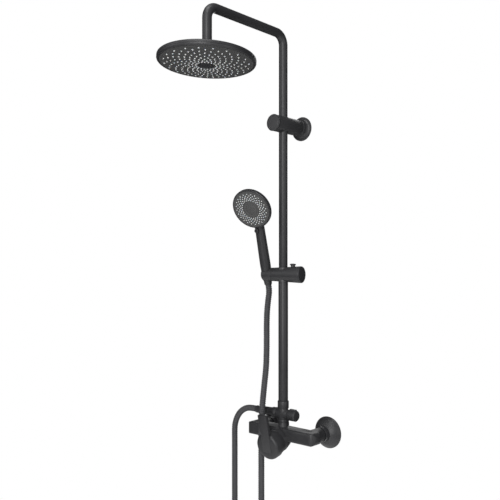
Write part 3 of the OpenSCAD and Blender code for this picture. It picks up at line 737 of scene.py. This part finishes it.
@dataclass
class RainHead:
    """The round head, its crowned spray plate, its nozzles and the ball joint."""

    radius: float = 101.0
    top: float = -14.0
    rim: float = 12.0
    crown: float = 6.0
    plate_r: float = 95.7
    disc_r: float = 16.0
    lean: float = 4.0
    rings: int = 10
    arms: int = 20
    outer_ring: float = 86.5
    ring_step: float = 7.25
    twist: float = 0.012

    def axes(self) -> Matrix:
        """Makes the head's own axes at the ball, leaning with it.

        Returns:
            The matrix from those axes to the row frame.
        """
        return Matrix.Translation(BALL) @ Matrix.Rotation(math.radians(-self.lean), 4, "X")

    def plate_z(self, r: float) -> float:
        """Gives the spray plate's height on its crown.

        Args:
            r: how far out, in mm.

        Returns:
            The height in mm.
        """
        ball = (self.plate_r**2 + self.crown**2) / (2 * self.crown)
        return self.top - self.rim + 0.1 - self.crown + ball - math.sqrt(ball**2 - r**2)

    def build(self) -> None:
        """Builds and dresses the head."""
        r, top, low = self.radius, self.top, self.top - self.rim
        shell = [
            (r - 5.1, low + 7), (r - 5.1, low + 0.9), (r - 4.6, low + 0.1), (r - 3.2, low - 0.1),
            (r - 1.9, low + 0.35),
            (r - 0.7, low + 1.5), (r, low + 3.2), (r, low + 4.3), (r - 0.5, low + 4.6),
            (r - 0.5, low + 5.1), (r, low + 5.4),
            (r, top - 3.6), (r - 0.5, top - 2.0), (r - 1.6, top - 0.8), (r - 3.4, top - 0.15),
            (r - 8.0, top), (60, top + 0.1),
            (20, top + 0.3), (14.4, top + 0.5), (13.0, top + 1.1), (12.2, top + 1.8), (11.2, top + 2.1),
            (5.7, top + 2.1), (5.7, top - 2.6), (60, top - 2.8),
        ]
        made = softened(placed(turned("head_shell_turned", shell, sides=160, ring=True), self.axes()),
            0)
        fitted(made, Body.RAIN_HEAD, BLACK_PAINT, ["head_shell"])
        plate = [(self.plate_r, low + 3.5)]
        edge = [self.plate_r, self.plate_r - 0.6, self.plate_r - 2.2]
        radii = edge + [92 - 7.3 * k for k in range(11)]
        plate += [
            (x, self.plate_z(x) + (0.6 if x == edge[0] else 0.0))
            for x in radii if x > self.disc_r + 0.6
        ]
        plate += [(self.disc_r + 0.3, self.plate_z(self.disc_r) + 0.4), (self.disc_r + 0.3, low + 3.5)]
        made = softened(placed(turned("head_plate", plate, sides=160, ring=True), self.axes()), 0)
        fitted(made, Body.RAIN_HEAD, SPRAY_PLATE, ["head_face"])
        mid = self.plate_z(0) + 0.1
        disc = [
            (9.0, low + 6), (self.disc_r, low + 5.5), (self.disc_r, mid + 1.0),
            (self.disc_r - 0.7, mid + 0.2), (self.disc_r - 2.2, mid),
            (self.disc_r - 2.6, mid + 0.35), (self.disc_r - 3.1, mid + 0.35), (self.disc_r - 3.5, mid),
            (5.0, mid + 0.25),
        ]
        made = softened(placed(turned("head_centre", disc), self.axes()), 0)
        fitted(made, Body.RAIN_HEAD, BLACK_SATIN, ["head_disc"])
        down = self.axes() @ Matrix.Rotation(math.pi, 4, "X")
        fitted(SprayNozzle(1.0).field("head_nozzles", self.spots(), down), Body.RAIN_HEAD, NOZZLE)
        dress(NOZZLE, "head_nozzle_mat")
        dress(BRASS, "swivel_ball")
        dress(PALE_PLASTIC, "ball_seat")
        dress(BLACK_PAINT, "swivel_nut")

    def spots(self) -> list[tuple[float, float, float, float]]:
        """Lays the nozzles out in staggered rings, seen from below.

        Returns:
            x, y, z in mm and the lean in radians of each.
        """
        ball = (self.plate_r**2 + self.crown**2) / (2 * self.crown)
        found = []
        for k in range(self.rings):
            r = self.outer_ring - self.ring_step * k
            for i in range(self.arms):
                a = 2 * math.pi * (i + 0.5 * k) / self.arms + self.twist * k
                found.append((r * math.cos(a), r * math.sin(a), -self.plate_z(r), math.asin(r / ball)))
        return found


@dataclass
class Slider:
    """The barrel that slides on the riser, with its cap, button and holder."""

    right: float = 45.0
    radius: float = 19.0
    button_x: float = 25.0

    def build(self) -> None:
        """Builds and dresses the slider and its holder."""
        fitted(refined("slider_barrel", "slider_body", 0.7), Body.SLIDER, BLACK_SHELL,
            ["slider_barrel"])
        along = SLIDER_AXES @ Matrix.Rotation(math.pi / 2, 4, "Y")
        r, x = self.radius, self.right
        lid = [
            (10.0, x - 3.8), (r - 0.6, x - 0.2), (r, x + 0.5), (r, x + 1.4), (r - 0.6, x + 2.6),
            (r - 1.8, x + 3.4), (r - 3.0, x + 3.6),
            (r - 3.4, x + 3.2), (r - 3.9, x + 3.1), (r - 4.4, x + 3.3), (r - 8.0, x + 3.6),
            (5.0, x + 3.7),
        ]
        fitted(softened(placed(turned("slider_lid", lid), along), 0), Body.SLIDER, BLACK_SATIN,
            ["slider_cap"])
        crown = self.radius + 6
        push = [
            (5.0, 10.0), (5.0, crown - 3.9), (6.6, crown - 3.8), (7.2, crown - 3.2), (7.1, crown - 2.4),
            (6.4, crown - 1.4),
            (5.2, crown - 0.6), (3.4, crown - 0.15), (1.6, crown),
        ]
        place = SLIDER_AXES @ Matrix.Translation((self.button_x * MM, 0, 0))
        fitted(softened(placed(turned("slider_push", push, sides=64), place), 0), Body.BUTTON,
            BLACK_SATIN, ["slider_button"])
        fitted(refined("holder", "holder_socket", 0.8), Body.HOLDER, BLACK_SHELL, ["holder"])
        dress(NYLON, "slider_bush")
        dress(STEEL, "holder_axle")
        self.spring()

    def spring(self, turns: int = 5, radius: float = 3.0, wire: float = 0.3, low: float = 3.5,
        high: float = 9.5) -> None:
        """Winds the button's spring.

        Args:
            turns: how many coils it has.
            radius: the coil's radius, in mm.
            wire: the wire's radius, in mm.
            low: height of its lower end, in mm.
            high: height of its upper end, in mm.
        """
        deselect()
        bpy.ops.mesh.primitive_circle_add(vertices=8, radius=wire * MM,
            location=(radius * MM, 0, low * MM), rotation=(math.pi / 2, 0, 0))
        made = bpy.context.object
        made.name = "button_spring"
        bpy.ops.object.transform_apply(location=True, rotation=True, scale=True)
        coil = made.modifiers.new("coil", "SCREW")
        coil.angle = 2 * math.pi * turns
        coil.screw_offset = (high - low) * MM
        coil.steps = 20 * turns
        coil.render_steps = 20 * turns
        coil.use_merge_vertices = False
        bpy.ops.object.modifier_apply(modifier=coil.name)
        bpy.ops.object.mode_set(mode="EDIT")
        bpy.ops.mesh.select_all(action="SELECT")
        bpy.ops.mesh.fill_holes(sides=0)
        bpy.ops.mesh.normals_make_consistent(inside=False)
        bpy.ops.object.mode_set(mode="OBJECT")
        bpy.ops.object.shade_smooth_by_angle(angle=math.radians(ROUND_ANGLE))
        place = SLIDER_AXES @ Matrix.Translation((self.button_x * MM, 0, 0))
        made = placed(made, place)
        made.data.materials.append(STEEL.material())
        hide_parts("slider_spring")
        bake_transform(made)


@dataclass
class HandShower:
    """The hand shower: handle and head in one shell, spray face, nozzles and selector."""

    socket_x: float = -43.0
    forward: float = 25.0
    reach: float = 160.0
    face_angle: float = 13.0
    throat_angle: float = 22.0
    radius: float = 47.0
    low_r: float = 12.25
    top_r: float = 11.0
    disc_r: float = 19.0
    rings: int = 5
    arms: int = 24
    outer_ring: float = 37.0
    ring_step: float = 3.7
    nozzle_z: float = 0.45
    nozzle_lean: float = 0.06
    melt_voxel: float = 0.9
    calm_passes: int = 7

    def axes(self) -> Matrix:
        """Makes the socket's axes, Z up the handle and -Y to its front.

        Returns:
            The matrix from those axes to the row frame.
        """
        middle = SLIDER_AXES @ Vector((self.socket_x * MM, 0, 0))
        return axes_at(middle, joint("holder_tilt")["axis"], joint("handset_lift")["axis"])

    def face_axes(self) -> Matrix:
        """Makes the spray face's axes, Z out of the face.

        Returns:
            The matrix from those axes to the row frame.
        """
        place = Matrix.Translation((0, -self.forward * MM, self.reach * MM))
        return self.axes() @ place @ Matrix.Rotation(math.radians(90 + self.face_angle), 4, "X")

    def neck(self) -> float:
        """Finds where the handle meets the head.

        Returns:
            How far up the handle, in mm.
        """
        return self.reach - self.radius + 2

    def shell(self) -> bpy.types.Object:
        """Models handle, neck and head back, and melts them into one shell.

        Returns:
            The shell, in place.
        """
        neck = self.neck()
        steps = [(8.0, 6.0), (11.3, 6.4), (11.6, 7.5), (11.75, 12.0), (self.low_r, 20.0),
            (self.low_r, 30.0)]
        steps += [
            (self.low_r + (self.top_r - self.low_r) * t, 30 + (neck - 30) * t)
            for t in (0.3, 0.6, 0.85, 1.0)
        ]
        steps += [(self.top_r - 0.6, neck + 6), (self.top_r - 3.0, neck + 11), (3.0, neck + 13)]
        handle = placed(turned("hand_shell_turned", steps, sides=64), self.axes())
        bend = (
            Matrix.Translation((0, 0, (neck - 4) * MM))
            @ Matrix.Rotation(math.radians(self.throat_angle), 4, "X")
        )
        throat = placed(turned("throat",
            [(self.top_r, 0.0), (self.top_r, 14.0), (self.top_r - 1.0, 26.0), (7.0, 38.0)], sides=64),
            self.axes() @ bend)
        r = self.radius
        back = [(r - 2.4, -1.6), (r - 0.5, -1.8), (r - 0.2, -7.6), (r - 1.4, -9.8), (r - 4.6, -11.6),
            (r - 12.0, -12.7), (12.0, -13.0)]
        dome = placed(turned("dome", back, sides=128), self.face_axes())
        made = joined("hand_shell_turned", [handle, throat, dome])
        melt = made.modifiers.new("melt", "REMESH")
        melt.mode = "VOXEL"
        melt.voxel_size = self.melt_voxel * MM
        bpy.ops.object.modifier_apply(modifier=melt.name)
        calm = made.modifiers.new("calm", "SMOOTH")
        calm.factor = 0.5
        calm.iterations = self.calm_passes
        bpy.ops.object.modifier_apply(modifier=calm.name)
        bpy.ops.object.shade_smooth_by_angle(angle=math.radians(ROUND_ANGLE))
        return made

    def build(self) -> None:
        """Builds and dresses the hand shower."""
        fitted(self.shell(), Body.HAND, BLACK_SHELL, ["hand_shell"])
        face, r = self.face_axes(), self.radius
        rim = [
            (r - 3.0, -2.8), (r - 3.0, -0.5), (r - 2.6, 0.0), (r - 1.2, 0.1), (r - 0.4, -0.5),
            (r, -1.6), (r, -4.0), (r - 0.3, -4.5), (r - 4.0, -5.0),
        ]
        fitted(softened(placed(turned("hand_rim", rim, sides=128, ring=True), face), 0), Body.HAND,
            BLACK_SATIN)
        plate = [(r - 3.2, -2.8), (r - 3.2, 0.0), (r - 3.6, 0.35), (38.0, 0.45), (30.0, 0.45),
            (self.disc_r + 0.5, 0.45), (self.disc_r + 0.2, 0.2), (self.disc_r + 0.2, -2.8)]
        fitted(softened(placed(turned("hand_plate", plate, sides=128, ring=True), face), 0), Body.HAND,
            SPRAY_PLATE, ["hand_face"])
        disc = [(12.0, -6.6), (self.disc_r, -6.4), (self.disc_r, 0.1), (self.disc_r - 0.5, 0.55),
            (self.disc_r - 1.6, 0.7), (14.0, 0.6), (13.6, 0.35), (13.1, 0.35), (12.7, 0.6), (4.0, 0.8)]
        fitted(softened(placed(turned("hand_centre", disc), face), 0), Body.HAND, SPRAY_PLATE,
            ["hand_disc"])
        fitted(SprayNozzle(0.72).field("hand_nozzles", self.spots(), face), Body.HAND, NOZZLE)
        self.selector()
        dress(NOZZLE, "hand_nozzle_mat")
        dress(BRASS, "hand_nipple")
        dress(SEAL, "hose_top_washer")
        fitted(refined("hose_top_nut", "hose_cone_top", 0.6), Body.HAND, BLACK_SATIN, ["hose_top_nut"])

    def spots(self) -> list[tuple[float, float, float, float]]:
        """Lays the nozzles out in staggered rings about the plain middle.

        Returns:
            x, y, z in mm and the lean in radians of each.
        """
        found = []
        for k in range(self.rings):
            r = self.outer_ring - self.ring_step * k
            for i in range(self.arms):
                a = 2 * math.pi * (i + 0.5 * k) / self.arms
                found.append((r * math.cos(a), r * math.sin(a), self.nozzle_z, self.nozzle_lean))
        return found

    def selector(self) -> None:
        """Models the spray selector's button with its thumb pad."""
        place = Matrix.Translation((0, (-self.top_r - 7.5) * MM,
            (self.neck() - 7) * MM)) @ Matrix.Rotation(-math.pi / 2, 4, "X")
        steps = [(1.5, 0.25), (3.6, 0.0), (4.7, 0.5), (5.3, 1.6), (5.3, 3.0), (4.8, 3.6), (4.0, 3.8),
            (4.0, 8.6)]
        made = softened(placed(turned("selector_push", steps, sides=48), self.axes() @ place), 0)
        fitted(made, Body.SELECTOR, BLACK_SATIN, ["hand_selector"])


@dataclass
class ShowerHose:
    """The wound hose, cut where it passes from one moving body to the next."""

    diameter: float = 14.5
    pitch: float = 5.0
    sides: int = 18
    rings_per_turn: int = 7
    groove: float = 1.3
    ridge_gain: float = 1.5
    ridge_shift: float = 0.25
    cut_heights: tuple[float, ...] = (-0.43, 0.057, 0.148, 0.240)

    ROUTE = (
        (-80.1, -71, 42.5), (-95, -71, 42.5), (-110, -71, 40.5), (-123, -71, 35), (-134.5, -71, 26),
        (-143.5, -71, 14), (-149.5, -71, 0), (-152, -71, -16), (-152, -71, -60), (-152, -71, -130),
        (-152, -71, -200), (-152, -72, -270), (-152, -72, -340), (-152, -73, -400),
        (-152, -73, -445), (-148, -74, -467), (-136, -77, -487), (-118, -81, -499.5),
        (-96.5, -86, -504), (-75, -91, -499.5), (-57, -95, -487), (-45, -98, -467),
        (-41, -99, -445), (-41, -100, -400), (-41, -100, -340), (-41, -100, -270), (-41, -100, -200),
        (-41, -100, -130), (-41, -100, -60), (-41, -100, 0), (-40.5, -98, 50), (-39, -93, 100),
        (-39, -86, 145), (-41.5, -81, 180), (-44.5, -77, 215), (-47, -74, 245),
        (-48.5, -71, 272), (-47.8, -68.5, 297), (-45, -68, 319), (-43.5, -72.2, 337.7),
    )

    def line(self) -> np.ndarray:
        """The hose's middle line.

        Returns:
            Evenly spaced points in metres.
        """
        p = np.array(self.ROUTE, float) * MM
        p = np.vstack([p[:1], p, p[-1:]])
        t = np.linspace(0, 1, 12, endpoint=False)[:, None]
        made = []
        for a, b, c, d in zip(p, p[1:], p[2:], p[3:]):
            made.append(
                0.5 * (2 * b + (c - a) * t + (2 * a - 5 * b + 4 * c - d) * t**2
                    + (3 * b - a - 3 * c + d) * t**3)
            )
        fine = np.vstack([*made, p[-1:]])
        run = np.concatenate([[0], np.cumsum(np.linalg.norm(np.diff(fine, axis=0), axis=1))])
        count = int(round(run[-1] / (self.pitch * MM / self.rings_per_turn)))
        at = np.linspace(0, run[-1], count + 1)
        return np.stack([np.interp(at, run, fine[:, k]) for k in range(3)], axis=1)

    def tube(self, name: str, line: np.ndarray, first: int, last: int,
        sides: np.ndarray) -> bpy.types.Object:
        """Makes one length of the hose.

        Args:
            name: the piece's name.
            line: the whole middle line.
            first: the first point of this length.
            last: its last point.
            sides: a side vector at each point of the whole line.

        Returns:
            The length, closed at both ends.
        """
        step = self.pitch * MM / self.rings_per_turn
        idx = np.arange(first, last + 1)
        ahead = np.gradient(line, axis=0)
        ahead /= np.linalg.norm(ahead, axis=1)[:, None]
        s, h = sides[idx], ahead[idx]
        up = np.cross(h, s)
        angle = 2 * math.pi * np.arange(self.sides) / self.sides
        phase = (idx[:, None] * step / (self.pitch * MM) - angle[None, :] / (2 * math.pi)) % 1.0
        ridge = np.clip(self.ridge_gain * np.sin(math.pi * phase) - self.ridge_shift, 0, 1)
        r = (self.diameter / 2 - self.groove * (1 - ridge)) * MM
        pts = line[idx][:, None, :] + r[..., None] * (
            np.cos(angle)[None, :, None] * s[:, None, :] + np.sin(angle)[None, :, None] * up[:, None, :]
        )
        n = self.sides
        faces = [
            (i * n + k, i * n + (k + 1) % n, (i + 1) * n + (k + 1) % n, (i + 1) * n + k)
            for i in range(len(idx) - 1) for k in range(n)
        ]
        faces += [tuple(range(n))[::-1], tuple((len(idx) - 1) * n + k for k in range(n))]
        mesh = bpy.data.meshes.new(name)
        mesh.from_pydata(pts.reshape(-1, 3).tolist(), [], faces)
        # The ridge values also mask the cover's painted shade in the grooves
        mesh.attributes.new("ridge", "FLOAT", "POINT").data.foreach_set("value",
            ridge.astype(np.float32).ravel())
        mesh.update()
        made = bpy.data.objects.new(name, mesh)
        bpy.context.scene.collection.objects.link(made)
        activate(made)
        bpy.ops.object.shade_smooth_by_angle(angle=math.radians(ROUND_ANGLE))
        made.data.materials.append(HOSE_COVER.material())
        return made

    def build(self) -> None:
        line = self.line()
        ahead = np.gradient(line, axis=0)
        ahead /= np.linalg.norm(ahead, axis=1)[:, None]
        sides, last = [], np.array([0.0, 1.0, 0.0])
        for h in ahead:
            last = last - h * (last @ h)
            last /= np.linalg.norm(last)
            sides.append(last)
        sides = np.array(sides)
        low = int(np.argmin(line[:, 2]))
        cuts = [low + int(np.argmin(np.abs(line[low:, 2] - z))) for z in self.cut_heights]
        spans = list(zip([0, *cuts], [*cuts, len(line) - 1]))
        names = ("hose_loop", "hose_rise", "hose_slide_end", "hose_swing", "hose_top")
        links = (None, (Body.COLUMN, Body.BUSH), (Body.BUSH, Body.SLIDER), (Body.SLIDER, Body.HOLDER),
            (Body.HOLDER, Body.HAND))
        for name, (a, b), link in zip(names, spans, links):
            made = self.tube(name, line, a, b, sides)
            path = line[a : b + 1 : 2]
            if not np.allclose(path[-1], line[b]):
                path = np.vstack([path, line[b]])
            if link is None:
                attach(made, Body.COLUMN.value)
                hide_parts("hose")
            else:
                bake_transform(made)
        fitted(refined("hose_low_nut", "hose_cone_low", 0.6), Body.COLUMN, BLACK_SATIN,
            ["hose_low_nut"])
        dress(SEAL, "hose_low_washer")


@dataclass
class Studio:
    """A pale floor, soft lights and the camera."""

    floor_z: float = -1.02
    floor_r: float = 1.7
    lens: float = 48.96
    shift_y: float = 0.024
    surround_glow: float = 0.07
    camera_x: float = 0.9834
    camera_before_riser: float = 1.2056
    camera_height: float = 0.3895
    camera_turn: float = 42.0

    def floor(self) -> None:
        """Makes the round pale floor, far below the column."""
        deselect()
        bpy.ops.mesh.primitive_cylinder_add(vertices=128, radius=self.floor_r, depth=0.02,
            location=(0, -0.3, self.floor_z - 0.01))
        made = bpy.context.object
        made.name = "studio_floor"
        bpy.ops.object.transform_apply(location=True, rotation=True, scale=True)
        softened(made, 6.0)
        made.data.materials.append(FLOOR.material())

    def lamp(self, name: str, spot: Sequence[float], aim: Sequence[float], size: tuple[float, float],
        watts: float) -> None:
        """Adds a soft rectangular lamp.

        Args:
            name: the lamp's name.
            spot: where it hangs.
            aim: what it points at.
            size: its width and height in metres.
            watts: its power.
        """
        data = bpy.data.lights.new(name, "AREA")
        data.shape = "RECTANGLE"
        data.size, data.size_y = size
        data.energy = watts
        made = bpy.data.objects.new(name, data)
        made.location = spot
        made.rotation_euler = (Vector(aim) - Vector(spot)).to_track_quat("-Z", "Y").to_euler()
        bpy.context.scene.collection.objects.link(made)

    def sky(self) -> None:
        """Makes a white surround that lights the column only softly."""
        world = bpy.data.worlds.new("studio")
        bpy.context.scene.world = world
        world.use_nodes = True
        tree = world.node_tree
        seen = tree.nodes["Background"]
        seen.inputs["Color"].default_value = (1.0, 1.0, 1.0, 1.0)
        seen.inputs["Strength"].default_value = 1.0
        glow = tree.nodes.new("ShaderNodeBackground")
        glow.inputs["Color"].default_value = (0.97, 0.98, 1.0, 1.0)
        glow.inputs["Strength"].default_value = self.surround_glow
        path = tree.nodes.new("ShaderNodeLightPath")
        mix = tree.nodes.new("ShaderNodeMixShader")
        tree.links.new(path.outputs["Is Camera Ray"], mix.inputs["Fac"])
        tree.links.new(glow.outputs["Background"], mix.inputs[1])
        tree.links.new(seen.outputs["Background"], mix.inputs[2])
        tree.links.new(mix.outputs["Shader"], tree.nodes["World Output"].inputs["Surface"])

    def camera(self) -> None:
        """Sets the camera level, to the right of the column and in front of it."""
        data = bpy.data.cameras.new("camera")
        data.lens = self.lens
        data.sensor_width = 36.0
        data.shift_y = self.shift_y
        made = bpy.data.objects.new("camera", data)
        made.location = (self.camera_x, -(STAND_OFF * MM + self.camera_before_riser),
            self.camera_height)
        turn = math.radians(self.camera_turn)
        look = Vector((-math.sin(turn), math.cos(turn), 0))
        made.rotation_euler = look.to_track_quat("-Z", "Y").to_euler()
        bpy.context.scene.collection.objects.link(made)
        bpy.context.scene.camera = made

    def build(self) -> None:
        """Sets up the whole studio."""
        bpy.context.scene.view_settings.view_transform = "Standard"
        self.floor()
        self.sky()
        self.camera()
        self.lamp("key", (1.0, -2.0, 0.75), (0, -0.15, 0.35), (0.7, 2.0), 45)
        self.lamp("fill", (-1.2, -2.2, 1.1), (0, -0.15, 0.3), (1.0, 2.0), 13)
        self.lamp("top", (0.3, -0.9, 2.4), (0, -0.2, 0.3), (1.2, 1.2), 26)
        self.lamp("back", (-0.9, 1.9, 1.3), (0, -0.1, 0.3), (1.4, 1.6), 13)
        self.lamp("side", (2.2, -0.35, 0.5), (0, -0.1, 0.3), (0.6, 1.8), 11)


def main() -> None:
    """Builds the column, sub-assembly by sub-assembly."""
    logging.basicConfig(level=logging.INFO, format="%(message)s")
    for maker in (Studio(), ShowerHose(), BarMixer(), MixerLever(), Diverter(), Riser(), WallBracket(),
        RainHead(), Slider(), HandShower()):
        maker.build()
        LOG.info("built %s", type(maker).__name__)
    deselect()


if __name__ == "__main__":
    main()
